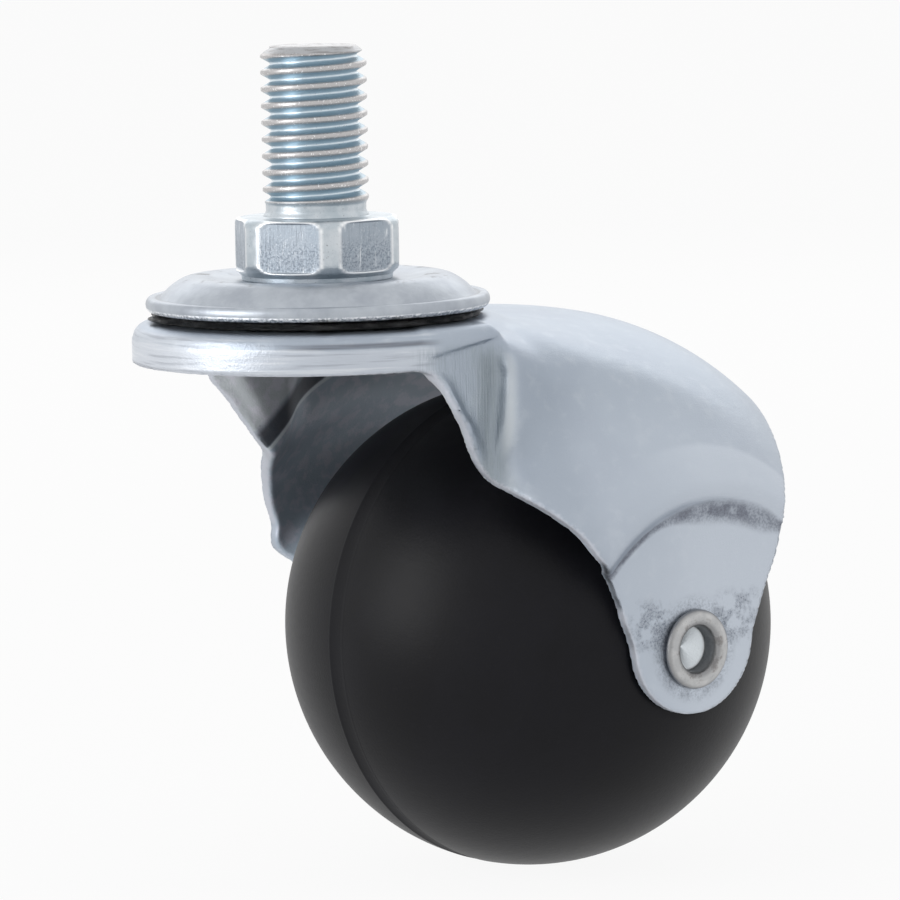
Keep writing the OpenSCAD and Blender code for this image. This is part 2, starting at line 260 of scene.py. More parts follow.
def grid_piece(name, points, ring=False):
    """A mesh from rows of points in millimetres that run around an axis. A ring's last row joins its
    first; any other piece is closed at both ends."""
    rows, columns, _ = points.shape
    index = np.arange(rows * columns).reshape(rows, columns)
    beside = np.roll(index, -1, axis=1)
    below = np.roll(index, -1, axis=0)
    corner = np.roll(beside, -1, axis=0)
    quads = np.stack([index, beside, corner, below], axis=-1)
    if ring:
        return mesh_piece(name, points.reshape(-1, 3), quads.reshape(-1, 4).tolist())
    ends = [index[0][::-1].tolist(), index[-1].tolist()]
    return mesh_piece(name, points.reshape(-1, 3), quads[:-1].reshape(-1, 4).tolist() + ends)


def mesh_piece(name, points, faces):
    mesh = bpy.data.meshes.new(name)
    mesh.from_pydata((np.asarray(points) * mm).tolist(), [], faces)
    turned_out = bmesh.new()
    turned_out.from_mesh(mesh)
    bmesh.ops.recalc_face_normals(turned_out, faces=turned_out.faces)
    turned_out.to_mesh(mesh)
    turned_out.free()
    mesh.shade_smooth()
    piece = bpy.data.objects.new(name, mesh)
    bpy.context.scene.collection.objects.link(piece)
    return piece


def smooth_step(x, low, high):
    t = np.clip((x - low) / (high - low), 0, 1)
    return t * t * (3 - 2 * t)


def rounded_min(a, b, r):
    h = np.clip(0.5 + 0.5 * (b - a) / r, 0, 1)
    return b * (1 - h) + a * h - r * h * (1 - h)


def rounded_max(a, b, r):
    return -rounded_min(-a, -b, r)


def filleted(profile, radius, step=0.12):
    """A line of (r, z) points with its corners rounded and then evenly divided."""
    p = np.array([q[:2] for q in profile], float)
    radii = [q[2] if len(q) > 2 else radius for q in profile]
    out = [p[0]]
    for i in range(1, len(p) - 1):
        back, ahead = p[i - 1] - p[i], p[i + 1] - p[i]
        reach = min(radii[i], np.linalg.norm(back) * 0.45, np.linalg.norm(ahead) * 0.45)
        start = p[i] + back / np.linalg.norm(back) * reach
        end = p[i] + ahead / np.linalg.norm(ahead) * reach
        for t in np.linspace(0, 1, 6):
            out.append((1 - t) ** 2 * start + 2 * t * (1 - t) * p[i] + t * t * end)
    out.append(p[-1])
    dense = [out[0]]
    for q in out[1:]:
        n = max(1, math.ceil(np.linalg.norm(q - dense[-1]) / step))
        begin = dense[-1]
        dense += [begin + (q - begin) * k / n for k in range(1, n + 1)]
    keep = [dense[0]] + [b for a, b in zip(dense, dense[1:]) if np.linalg.norm(b - a) > 1e-5]
    return np.array(keep)


def around(rows, count):
    """Turns (r, z) rows about the axis. Returns the grid's angles, radii and heights."""
    angle = np.arange(count) / count * 2 * np.pi
    r = np.repeat(rows[:, :1], count, axis=1)
    z = np.repeat(rows[:, 1:], count, axis=1)
    return np.repeat(angle[None], len(rows), axis=0), r, z


stem_line = filleted([
    (0.001, stem_top - 0.12), (2.2, stem_top - 0.08), (2.75, stem_top, 0.15), (3.2, stem_top),
    (crest_r, stem_top - chamfer, 0.1), (crest_r, 0.06, 0.06), (4.3, 0, 0.1), (5.9, 0, 0.3),
    (collar_r, -0.42, 0.35), (collar_r, collar_low + 0.6, 0.5), (5.72, collar_low, 0.2),
    (ring_r + 0.02, collar_low - 0.02, 0.1), (ring_r, cap_z, 0.1), (kingpin_r + 0.1, cap_z, 0.1),
    (kingpin_r, cap_z - 0.3, 0.1), (kingpin_r, race_z[1][2] / mm), (tenon_r, race_z[1][2] / mm),
    (tenon_r, race_z[0][2] / mm), (peen_r, race_z[0][2] / mm, 0.1), (peen_r - 0.35, peen_z, 0.4),
    (0.001, peen_z)], 0.2, 0.072)
angle, r, z = around(stem_line, 168)

# The thread: sharp crests over wide rounded roots, running out into the plain foot over the collar
turn = ((z + 0.325) / thread_pitch - angle / (2 * np.pi)) % 1
flank = np.clip((np.abs(turn - 0.5) - 0.10) / 0.35, 0, 1)
groove = 0.8 * flank + 0.2 * smooth_step(flank, 0, 1)
depth = (crest_r - root_r) * smooth_step(z, thread_end - 0.15, thread_end + 0.75)
on_shank = (r > 3.0) & (z > 0.03)
foot = foot_r + (crest_r - foot_r) * np.maximum(smooth_step(z, 0.5, 0.0),
                                                smooth_step(z, thread_end - 0.05, thread_end + 0.45))
r = np.where(on_shank, np.minimum(r, np.minimum(foot, crest_r - depth * groove)), r)

# The flats: pressed into the barrel, with soft ends and corners that stay full
flat_angles = np.radians(np.array([32 + 60 * k for k in range(6)]))
nearest = flat_angles[np.argmin(np.abs((angle[..., None] - flat_angles + np.pi) % (2 * np.pi) - np.pi),
                                axis=-1)]
off = (angle - nearest + np.pi) % (2 * np.pi) - np.pi
across = r * np.sin(off)
on_collar = (z < -0.001) & (z > collar_low - 0.001) & (r > ring_r)
flat_round = 0.85
upright = np.abs(z + 2.03) - 1.83 + flat_round
sideways = np.abs(across) - flat_half + flat_round
inside = (np.minimum(np.maximum(upright, sideways), 0) - flat_round
          + np.hypot(np.maximum(upright, 0), np.maximum(sideways, 0)))
pressed = smooth_step(inside, 0.12, -0.06)
flat_cut = np.minimum(r, flat_r / np.cos(off))
r = np.where(on_collar, r + (flat_cut - r) * pressed, r)
lip = np.exp(-((inside - 0.1) / 0.09) ** 2)
r = np.where(on_collar, np.minimum(r + lip * 0.04, collar_r), r)

stem = grid_piece("threaded_stem_dressed", np.stack([r * np.cos(angle), r * np.sin(angle), z], axis=-1))
flat_mark = stem.data.attributes.new("flat_mark", "FLOAT", "POINT")
flat_mark.data.foreach_set("value", np.where(on_collar, pressed, 0).ravel())
lip_mark = stem.data.attributes.new("lip_mark", "FLOAT", "POINT")
lip_mark.data.foreach_set("value", np.where(on_collar, lip, 0).ravel())

stem_zinc = Finish("stem_zinc", Metallic=1.0)
spot = stem_zinc.place()
x, y, z_here = stem_zinc.parts(spot)
radius = (x * x + y * y).root()
on_flat = stem_zinc.node("Attribute", attribute_name="flat_mark", output="Fac")
painted_lip_highlight = stem_zinc.node("Attribute", attribute_name="lip_mark", output="Fac")
on_thread = z_here.between(0.9, 1.3)
crest = radius.between(3.70, 3.86) * on_thread
root = radius.between(root_r + 0.10, root_r + 0.02) * on_thread
on_top = z_here.between(stem_top - 0.78, stem_top - 0.6)
turned = stem_zinc.noise(stem_zinc.stretched(spot, 0.3, 0.3, 3.0), 2.2, 4, 0.6)
mottle = stem_zinc.noise(spot, 0.55, 5, 0.62)
fine = stem_zinc.noise(spot, 6.5, 3, 0.6)
scratch = stem_zinc.noise(stem_zinc.stretched(spot, 2.6, 2.6, 0.25), 1.6, 4, 0.7)
base = stem_zinc.mix(mottle.between(0.35, 0.68), colour(176, 186, 193), colour(203, 209, 214))
base = stem_zinc.mix(on_thread * 0.75, base, colour(158, 182, 196))
base = stem_zinc.mix(crest * 0.85, base, colour(192, 187, 185))
# Painted highlight: a thin bright line along each thread root
base = stem_zinc.mix(root * 0.8, base, colour(232, 240, 245))
base = stem_zinc.mix(on_top * 0.8, base, colour(176, 173, 173))
base = stem_zinc.mix(on_top * turned.between(0.5, 0.62) * 0.5, base, colour(112, 106, 104))
base = stem_zinc.mix(fine.between(0.64, 0.72) * 0.6, base, colour(78, 78, 80))
base = stem_zinc.mix(fine.between(0.40, 0.34) * (crest + on_flat) * 0.9, base, colour(250, 250, 250))
wear_and_sheen = on_flat * z_here.between(-1.0, -2.4)
base = stem_zinc.mix(on_flat * 0.7, base, colour(156, 166, 178))
base = stem_zinc.mix(wear_and_sheen * fine.between(0.48, 0.60) * 0.55, base, colour(110, 118, 130))
base = stem_zinc.mix(on_flat * scratch.between(0.54, 0.64) * 0.4, base, colour(124, 132, 142))
base = stem_zinc.mix(on_flat * scratch.between(0.40, 0.34) * 0.6, base, colour(240, 243, 245))
# Painted highlight: a near-white line along the pressed lip round each flat
base = stem_zinc.mix(painted_lip_highlight * mottle.between(0.25, 0.40) * 0.9, base, colour(250, 251, 252))
stem_relief = stem_zinc.bump(fine * 0.4 + scratch * on_flat * 0.5, 0.05)
stem.data.materials.append(stem_zinc.set(
    Base_Color=base, Roughness=0.27 + mottle * 0.14 + on_flat * 0.12, Normal=stem_relief))
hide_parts("threaded_stem")
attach(stem, "stem")

# --- Swivel cap ----------------------------------------------------------------------------------
# A pressed steel disc, zinc-plated, dished under the collar and crowned over the ball ring. Its rim
# was blanked out, so the rim's edge is slightly rough, and a bright band is painted on it as a
# highlight.

cap_r = 12.95
rim_top = cap_z - 1.15
rim_low = rim_top - 1.1
cap_line = filleted([
    (kingpin_r + 0.02, cap_z), (6.0, cap_z, 0.8), (7.4, cap_z + 0.02, 0.9),
    (8.6, cap_z + 0.34, 0.9), (10.0, cap_z + 0.33, 0.9), (11.2, cap_z - 0.45, 1.0),
    (11.95, rim_top - 0.12, 0.06), (12.1, rim_top - 0.12, 0.05), (12.3, rim_top, 0.15),
    (12.72, rim_top + 0.02, 0.3), (cap_r, rim_top - 0.35, 0.3), (cap_r - 0.02, rim_low + 0.32, 0.25),
    (cap_r - 0.28, rim_low + 0.02, 0.12), (11.7, rim_low, 0.5), (10.45, cap_z - 1.42, 0.8),
    (kingpin_r + 0.02, cap_z - 1.1)], 0.4, 0.1)
angle, r, z = around(cap_line, 192)
cap = grid_piece("swivel_cap_dressed", np.stack([r * np.cos(angle), r * np.sin(angle), z], axis=-1),
                 ring=True)

cap_zinc = Finish("cap_zinc", Metallic=1.0)
spot = cap_zinc.place()
x, y, z_here = cap_zinc.parts(spot)
radius = (x * x + y * y).root()
mottle = cap_zinc.noise(spot, 0.35, 5, 0.6)
fine = cap_zinc.noise(spot, 4.0, 4, 0.6)
smear = cap_zinc.noise(cap_zinc.stretched(spot, 0.5, 0.5, 2.0), 1.1, 5, 0.65)
on_edge = radius.between(12.5, 12.7) * z_here.between(rim_low + 0.42, rim_low + 0.26)
crown = radius.between(6.9, 8.2) * radius.between(10.6, 9.8)
base = cap_zinc.mix(mottle.between(0.3, 0.7), colour(162, 168, 177), colour(184, 190, 197))
stains = crown * smear.between(0.54, 0.66)
base = cap_zinc.mix(stains * 0.55, base, colour(112, 106, 102))
# Painted shade: the groove between the crown's slope and the rim is darkened
groove_shade = radius.between(11.85, 12.0) * radius.between(12.3, 12.15)
groove_shade = groove_shade * z_here.between(rim_low + 0.6, rim_top - 0.3)
base = cap_zinc.mix(groove_shade * 0.5, base, colour(120, 122, 126))
# Painted highlight: a near-white band along the rim's cut edge, over the burr's roughness
base = cap_zinc.mix(on_edge * fine.between(0.42, 0.58), base, colour(246, 248, 250))
cap_relief = cap_zinc.bump(fine * (0.3 + on_edge * 2.2), 0.05)
cap.data.materials.append(cap_zinc.set(
    Base_Color=base, Roughness=0.30 + mottle * 0.15 + stains * 0.15, Normal=cap_relief))
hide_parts("swivel_cap")
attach(cap, "stem")

# --- Bearing grease ------------------------------------------------------------------------------
# Dark grease packed around the upper balls. It fills the gap between the cap and the hood and stands
# a little out of it, with a ragged wet edge.

grease_top = rim_low - 0.06
grease_low = -7.62
grease_r = 11.75        # where the grease starts, between the balls and the rims
grease_edge = 12.42     # how far it stands out, on average
grease_rows = 15
around_count = 260
angle = np.arange(around_count) / around_count * 2 * np.pi
random = np.random.default_rng(7)
ragged = np.zeros(around_count)
drips = np.zeros(around_count)
for wave in range(2, 46):
    ragged += np.cos(wave * angle + random.uniform(0, 6.28)) * random.normal() / wave ** 0.75
    drips += np.cos(wave * angle + random.uniform(0, 6.28)) * random.normal() / wave ** 0.55
ragged *= 0.30 / ragged.std()
drips /= drips.std()
share = np.linspace(0, 2 * np.pi, grease_rows, endpoint=False)[:, None]
mid_z = (grease_top + grease_low) / 2
half_z = (grease_top - grease_low) / 2
bulge = np.clip(grease_edge + ragged, 11.9, 13.0)
r = grease_r + (bulge[None] - grease_r) * np.cos(share)
r = np.where(np.cos(share) < 0, grease_r + 0.35 * np.cos(share), r)
z = mid_z + half_z * np.sin(share) * (1 - 0.04 * np.abs(drips[None]).clip(0, 2))
z = np.minimum(z, grease_top)
rows = np.stack([r * np.cos(angle), r * np.sin(angle), z * np.ones_like(r)], axis=-1)
grease = grid_piece("bearing_grease", rows, ring=True)
black_grease = Finish("black_grease", Specular_IOR_Level=0.5)
spot = black_grease.place()
lumps = black_grease.noise(black_grease.stretched(spot, 1.0, 1.0, 2.0), 1.5, 5, 0.65)
base = black_grease.mix(lumps.between(0.4, 0.7), colour(9, 9, 11), colour(38, 38, 41))
grease.data.materials.append(black_grease.set(
    Base_Color=base, Roughness=0.08 + lumps * 0.22, Normal=black_grease.bump(lumps, 0.9)))
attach(grease, "hood")

# --- Swivel bearing ------------------------------------------------------------------------------
# Two rings of hardened steel balls and the turned race under the lower ring. They sit in grease, so
# the bright steel carries a thin dark film.

greased_steel = Finish("greased_steel", Metallic=1.0)
spot = greased_steel.place()
film = greased_steel.noise(spot, 0.9, 4, 0.6)
base = greased_steel.mix(film.between(0.42, 0.62), colour(186, 190, 192), colour(74, 68, 58))
greased_steel.set(Base_Color=base, Roughness=0.12 + film * 0.3)
race_steel = Finish("race_steel", Metallic=1.0)
spot = race_steel.place()
turned = race_steel.noise(race_steel.stretched(spot, 1, 1, 6), 1.4, 5, 0.6)
base = race_steel.mix(turned.between(0.35, 0.7), colour(150, 156, 160), colour(92, 90, 84))
race_steel.set(Base_Color=base, Roughness=0.28 + turned * 0.2, Normal=race_steel.bump(turned, 0.03))
for name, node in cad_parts.items():
    if "_ball_" in name and name != "ball_wheel":
        node.data.materials.clear()
        node.data.materials.append(greased_steel.material)
    if name == "lower_race":
        node.data.materials.clear()
        node.data.materials.append(race_steel.material)

# --- Hood ----------------------------------------------------------------------------------------
# One pressed sheet of 1.1 mm steel, zinc-plated after pressing. A round cup holds the swivel; a
# straight neck behind it steps out into a wider body that swells into a dome over the wheel, and two
# ears with flat pads carry the axle.

sheet = 1.1
axle_x = 20.0
axle_z = -32.9
cup_r = 14.03
shoulder = -7.7         # top of the cup and the neck
shoulder_round = 1.35
skirt = -10.75          # lower edge of the cup
dish_r = 11.3           # the dish in the cup's top, for the balls
neck_half = 14.38       # from the middle to the neck's flat side
neck_front = -0.9
neck_back = 6.3
body_half = 15.38       # from the middle to the body's side, just behind the step
dome_r = 24.62
cheek_half = 20.98      # from the middle to the dome's flattened cheek
ear_half = 19.6         # and to the pad around the axle
pad_r = 13.3
far_pad_r = 11.4        # the far ear's pad stops short of its front edge
pad_back = 1.6          # the pads' centre behind the axle
pad_drop = 2.5          # and below it
grid_step = 0.275

# The hood from the side, as X and Z from the axle: up the rear of the ear, down the front of the leg
ear_rear = [(5.98, 0.6), (7.3, 3.9), (8.4, 6.2), (9, 8.4), (8.8, 9.8), (9.1, 10.9), (10.5, 12.8),
            (12.8, 15.7), (14.6, 17.3), (16.5, 18.4)]
leg_front = [(-21.6, 22.15), (-20.2, 21.7), (-19.1, 19.4), (-17.9, 17.9), (-17, 16.4), (-16, 14.9),
             (-15.4, 14.15), (-14.6, 13.4), (-13.8, 12.65), (-13, 11.9), (-12.2, 11.15), (-10.9, 9.65),
             (-10, 8.1), (-9.1, 6.65), (-8.5, 5.6), (-7.9, 4.7), (-7.2, 3.9), (-6.45, 2.6), (-5.9, 1.6)]
# How far back the body's front face stands, at heights from the cup's shoulder down
step_heights = [-22.0, -19.28, -16.83, -13.55, -11.46, -8.73, -6.5]
step_places = [5.3, 5.3, 5.25, 5.75, 5.95, 5.6, 5.4]
# How far the leg's front edge is flared outward, at heights from the ear up
flare_heights = [-19.5, -18.7, -18, -17.25, -16.5, -15.75, -15, -14.25, -13.5, -12.3, -10.7]
flare_widths = [0.1, 0.2, 0.26, 0.4, 0.58, 0.8, 1.0, 1.2, 1.45, 1.1, 0.3]
# How much further back the near ear's front edge is cut, and the far ear's, at heights up the ear
ear_heights = [-33, -32.2, -31.5, -30.9, -30.2, -29.6, -29.1, -28.6, -28.1, -27.6, -27.1, -26.6,
               -26, -25]
near_cut = [0, -0.1, -0.14, -0.13, -0.05, 0.08, 0.24, 0.42, 0.6, 0.74, 0.78, 0.62, 0.3, 0]
far_cut = [0, -0.1, -0.25, -0.45, -0.75, -1.0, -1.2, -1.3, -1.25, -1.05, -0.78, -0.42, -0.14, 0]


def through(points, steps=6):
    """A smooth line through a few points."""
    p = np.array(points, float)
    ends = np.vstack([p[:1], p, p[-1:]])
    line = []
    for a, b, c, d in zip(ends, ends[1:], ends[2:], ends[3:]):
        for t in np.arange(steps) / steps:
            line.append((2 * b + (c - a) * t + (2 * a - 5 * b + 4 * c - d) * t ** 2
                         + (3 * b - a - 3 * c + d) * t ** 3) / 2)
    return np.array(line + [p[-1]])


ear_arc = [(0.2 + 5.77 * math.cos(a), 0.6 + 5.6 * math.sin(a))
           for a in np.radians(np.arange(180, 360, 8))]
far_out = 60            # well outside the hood
beyond = [(far_out, ear_rear[-1][1]), (far_out, far_out), (-far_out, far_out),
          (-far_out, leg_front[0][1])]
side_line = np.vstack([through(leg_front), ear_arc, through(ear_rear), beyond]) + (axle_x, axle_z)
leg_line = through(leg_front)[::-1]
leg_heights = leg_line[:, 1] + axle_z
leg_places = leg_line[:, 0]


def outside_line(px, pz, line):
    """Distance from points to a closed line, counted negative inside it."""
    shape = np.broadcast(px, pz).shape
    px, pz = np.broadcast_to(px, shape), np.broadcast_to(pz, shape)
    nearest_sq = np.full(shape, 1e9)
    crossings = np.zeros(shape, bool)
    for (ax, az), (bx, bz) in zip(line, np.roll(line, -1, axis=0)):
        ex, ez = bx - ax, bz - az
        along = np.clip(((px - ax) * ex + (pz - az) * ez) / (ex * ex + ez * ez + 1e-12), 0, 1)
        nearest_sq = np.minimum(nearest_sq, (px - ax - ex * along) ** 2 + (pz - az - ez * along) ** 2)
        if abs(ez) > 1e-12:
            crossings ^= ((az > pz) != (bz > pz)) & (px < ax + ex * (pz - az) / ez)
    return np.sqrt(nearest_sq) * np.where(crossings, -1, 1)


def boxed(a, b, r):
    """The corner between two faces at distances a and b, rounded to a radius."""
    return np.hypot(np.maximum(a + r, 0), np.maximum(b + r, 0)) + np.minimum(np.maximum(a, b), -r)


def hood_form(x, y, z, cavity=0):
    """Distance outside the hood's full form as if solid; the cavity's form has softer steps."""
    neck_end = neck_back + 3.7 * cavity
    neck_round = shoulder_round + 3.8 * cavity * smooth_step(x, 3.8, 6.2)
    side = np.abs(y)
    # Cup with a rounded shoulder and a faint drawing line around it
    from_axis = np.hypot(x, y)
    drawn = 0.06 * np.exp(-((z + 8.62) / 0.16) ** 2)
    cup = boxed(from_axis - cup_r + drawn, z - shoulder, shoulder_round)
    # Neck: flat sides pressed in a little under the shoulder, along a line that rises to the rear
    rise = -9.68 + (x + 0.54) * 0.172
    tuck = smooth_step(rise - z, -0.15, 0.3)
    behind = x - axle_x - np.interp(z, leg_heights, leg_places)
    flare = np.interp(z, flare_heights, flare_widths) * np.exp(-(behind.clip(0) / 1.1) ** 2)
    neck = boxed(side - neck_half + 0.36 * tuck - flare, z - shoulder, neck_round)
    neck = rounded_max(neck, neck_front - x, 0.8)
    neck = rounded_max(neck, x - neck_end, 0.9)
    front = rounded_min(cup, neck, 0.4)
    # Body: wider than the neck, with full round upper edges that run back into the dome
    step_at = np.interp(z, step_heights, step_places)
    widening = smooth_step(x, 7, 15)
    crest = z - (shoulder + 0.15 - ((x - 10.0) / 60.0) ** 2 * 30)
    round_edge = 3.3 + 2.3 * smooth_step(x, 6, 11)
    lower = smooth_step(z, -14.5, -19.5) * smooth_step(x, 9, 6)
    body = boxed(side - body_half - 0.4 * widening + 0.8 * lower, crest, round_edge)
    corner = np.sqrt((x - 6.0) ** 2 + y ** 2 + (z + 40.0) ** 2) - 33.75 - 1.0 * smooth_step(x, 10, 5)
    body = rounded_max(body, corner, 2.0)
    body = rounded_max(body, step_at - x, 0.9 + 3.1 * cavity)
    # Dome about the axle, flattened into cheeks and pressed in to flat pads around the axle
    ax, az = x - axle_x, z - axle_z
    from_centre = np.sqrt(ax ** 2 + y ** 2 + az ** 2)
    dome = from_centre - dome_r
    past_crease = np.hypot(ax - pad_back, az + pad_drop) - np.where(y > 0, far_pad_r, pad_r)
    climb = np.clip((past_crease + np.hypot(past_crease, 0.3)) / 2 / 2.1, 0, 1)
    cheek = side - ear_half - (cheek_half - ear_half) * (1 - (1 - climb) ** 2)
    dome = rounded_max(dome, cheek, 1.3)
    form = rounded_min(body, dome, 0.8 + 1.8 * smooth_step(x, 6, 11))
    return rounded_min(front, form, 0.8)


cup_floor = np.array([
    (3.8, -6.2), (6.8, -6.2), (8.0, -8.0), (10.8, -8.0), (dish_r, shoulder), (dish_r + 0.5, shoulder),
    (dish_r + 0.5, shoulder - sheet), (11.25, -9.1), (7.55, -9.1), (6.35, -7.3), (3.8, -7.3)])


def hood_sheet(x, y, z):
    """Distance outside the pressed sheet itself."""
    outer = hood_form(x, y, z)
    inner = hood_form(x, y, z, cavity=1)
    skin = rounded_max(outer, -(inner + sheet), 0.16)
    from_axis = np.hypot(x, y)
    skin = rounded_max(skin, dish_r - from_axis - np.where(z < skirt - 0.6, 40, 0), 0.16)
    near_ear = np.interp(z, ear_heights, near_cut)
    far_ear = np.interp(z, ear_heights, far_cut)
    cut_back = np.where(y < 0, near_ear, far_ear) * smooth_step(x, 19, 16)
    skin = rounded_max(skin, outside_line(x - cut_back, z, side_line), 0.2)
    floor_part = outside_line(from_axis, z, cup_floor)
    skin = rounded_min(skin, floor_part, 0.12)
    return rounded_max(skin, 2.42 - np.hypot(x - axle_x, z - axle_z), 0.12)


def skinned(distance, low, high, step):
    """A mesh of a form's surface: one point in each grid cell that it crosses, then drawn onto it."""
    axes = [np.arange(a, b + step, step) for a, b in zip(low, high)]
    shape = tuple(len(a) for a in axes)
    x, y, z = axes[0][:, None, None], axes[1][None, :, None], axes[2][None, None, :]
    field = np.broadcast_to(distance(x, y, z), shape)
    solid = field < 0
    corners = [(i, j, k) for i in (0, 1) for j in (0, 1) for k in (0, 1)]
    n = np.array(shape) - 1
    count = sum(solid[i:i + n[0], j:j + n[1], k:k + n[2]].astype(np.int8) for i, j, k in corners)
    cells = np.argwhere((count > 0) & (count < 8))
    number = np.full(n, -1, np.int64)
    number[tuple(cells.T)] = np.arange(len(cells))
    total, hits = np.zeros((len(cells), 3)), np.zeros(len(cells))
    for c in corners:
        for axis in range(3):
            if c[axis]:
                continue
            d = list(c)
            d[axis] = 1
            fa = field[tuple((cells + c).T)]
            fb = field[tuple((cells + d).T)]
            cross = (fa < 0) != (fb < 0)
            t = np.where(cross, fa / np.where(cross, fa - fb, 1), 0)
            point = cells + np.array(c, float)
            point[:, axis] += t
            total += point * cross[:, None]
            hits += cross
    points = np.array(low) + total / hits[:, None] * step
    faces = []
    for axis in range(3):
        u, v = (axis + 1) % 3, (axis + 2) % 3
        cut = [slice(None)] * 3
        ahead = [slice(None)] * 3
        cut[axis], ahead[axis] = slice(0, -1), slice(1, None)
        cut[u] = ahead[u] = slice(1, -1)
        cut[v] = ahead[v] = slice(1, -1)
        a, b = solid[tuple(cut)], solid[tuple(ahead)]
        edges = np.argwhere(a != b)
        flip = a[tuple(edges.T)]
        edges[:, u] += 1
        edges[:, v] += 1
        ring = []
        for du, dv in ((-1, -1), (0, -1), (0, 0), (-1, 0)):
            cell = edges.copy()
            cell[:, u] += du
            cell[:, v] += dv
            ring.append(number[tuple(cell.T)])
        ring = np.array(ring).T
        faces.append(np.where(flip[:, None], ring, ring[:, ::-1]))
    faces = np.concatenate(faces)
    faces = faces[(faces >= 0).all(axis=1)]

    def slope(p):
        h = 0.02
        return np.stack([distance(*(p + np.eye(3)[k] * h).T) - distance(*(p - np.eye(3)[k] * h).T)
                         for k in range(3)], axis=1) / (2 * h)

    rounds = 6
    for round_number in range(rounds):
        gradient = slope(points)
        steep = (gradient ** 2).sum(axis=1, keepdims=True).clip(0.05)
        shift = distance(*points.T)[:, None] * gradient / steep
        length = np.linalg.norm(shift, axis=1, keepdims=True).clip(1e-9)
        points = points - shift * np.minimum(1, 0.3 / length)
        if round_number < rounds - 1:
            centre = points[faces].mean(axis=1)
            spread, times = np.zeros_like(points), np.zeros(len(points))
            for k in range(4):
                np.add.at(spread, faces[:, k], centre)
                np.add.at(times, faces[:, k], 1)
            drift = (spread / times.clip(1)[:, None] - points) * 0.5
            normal = gradient / np.sqrt(steep)
            points = points + drift - normal * (drift * normal).sum(axis=1, keepdims=True)
    return points, faces


points, faces = skinned(hood_sheet, (-14.9, -21.9, -38.8), (41.2, 21.9, -5.5), grid_step)
hood = mesh_piece("hood_dressed", points, faces.tolist())
edge_gap = np.abs(outside_line(points[:, 0], points[:, 2], side_line))
outer_gap = hood_form(*points.T)
cut_edge = hood.data.attributes.new("cut_edge", "FLOAT", "POINT")
in_sheet = smooth_step(outer_gap, -0.05, -0.2) * smooth_step(outer_gap, -sheet + 0.02, -sheet + 0.15)
cut_edge.data.foreach_set("value", smooth_step(edge_gap, 0.22, 0.04) * in_sheet)
inner_face = hood.data.attributes.new("inner_face", "FLOAT", "POINT")
cavity_gap = hood_form(*points.T, cavity=1) + sheet
inner_face.data.foreach_set("value", smooth_step(cavity_gap, 0.45, 0.15))

hood_zinc = Finish("hood_zinc")
spot = hood_zinc.place()
x, y, z_here = hood_zinc.parts(spot)
side = y.size()
ax = x - axle_x
az = z_here - axle_z
from_axle = (ax * ax + az * az).root()
on_cut = hood_zinc.node("Attribute", attribute_name="cut_edge", output="Fac")
within = hood_zinc.node("Attribute", attribute_name="inner_face", output="Fac")
cloud = hood_zinc.noise(spot, 0.10, 3, 0.5)
mottle = hood_zinc.noise(spot, 0.8, 5, 0.6)
grain = hood_zinc.noise(spot, 7.0, 3, 0.6)
speckle = hood_zinc.noise(spot, 5.0, 4, 0.7)
brushed = hood_zinc.noise(hood_zinc.stretched(spot, 5.0, 5.0, 0.22), 1.3, 4, 0.65)
flow = hood_zinc.noise(hood_zinc.stretched(spot, 0.22, 1.0, 1.6), 1.0, 5, 0.6)
base = hood_zinc.mix(cloud.between(0.35, 0.65), colour(163, 172, 184), colour(172, 181, 192))
base = hood_zinc.mix(mottle.between(0.50, 0.72) * 0.35, base, colour(188, 195, 203))
# Painted light: the near pad and the cheeks around it, and the dome's sides near the axle, are painted a
# little paler
near_pad_painted_light = side.between(19.0, 19.4) * y.between(0, -1)
base = hood_zinc.mix(near_pad_painted_light * ax.between(-6, 2) * 0.6, base, colour(200, 207, 216))
dome_side_painted_light = side.between(14, 17) * from_axle.between(24.5, 12)
base = hood_zinc.mix(dome_side_painted_light * 0.4, base, colour(198, 205, 215))
# The cup's skirt is streaked level by the drawing ring. A band under the drawn line and the skirt's side
# towards the side lamp are painted lighter as highlight, and a dark line part way round is painted shade
# in the crease
radius = (x * x + y * y).root()
on_cup = radius.between(13.4, 13.8) * x.between(0.8, -1.5) * z_here.between(-7.6, -8.0)
across = x * 0.8 - y * 0.6
streak = hood_zinc.noise(hood_zinc.stretched(spot, 0.12, 0.12, 3.2), 1.0, 4, 0.6)
# Painted highlight: the band under the drawn line and the side towards the side lamp are lightened
below = z_here.between(-8.75, -9.05)
base = hood_zinc.mix(on_cup * below * 0.6, base, colour(208, 213, 221))
base = hood_zinc.mix(on_cup * across.between(-6, -11) * 0.5, base, colour(226, 230, 236))
base = hood_zinc.mix(on_cup * streak.between(0.50, 0.66) * 0.35, base, colour(238, 240, 243))
base = hood_zinc.mix(on_cup * streak.between(0.46, 0.34) * 0.35, base, colour(128, 132, 142))
# Painted shade: a dark line along the drawn crease part way round the skirt
crease_shade = z_here.between(-8.9, -8.7) * z_here.between(-8.35, -8.55) * across.between(-4, 0)
crease_shade = crease_shade * across.between(9.5, 7) * radius.between(13.4, 13.8) * x.between(1.5, 0)
base = hood_zinc.mix(crease_shade * (streak.between(0.3, 0.6) * 0.4 + 0.35), base, colour(96, 99, 108))
# The neck's flat sides are scratched upright and a little bluer
neck_side = side.between(13.6, 14.0) * side.between(14.9, 14.5) * x.between(6.5, 5.5)
neck_side = neck_side * z_here.between(-8.7, -9.6) * x.between(-2.5, -1)
base = hood_zinc.mix(neck_side * brushed.between(0.42, 0.60) * 0.4, base, colour(146, 157, 164))
base = hood_zinc.mix(neck_side * brushed.between(0.60, 0.72) * 0.4, base, colour(200, 207, 211))
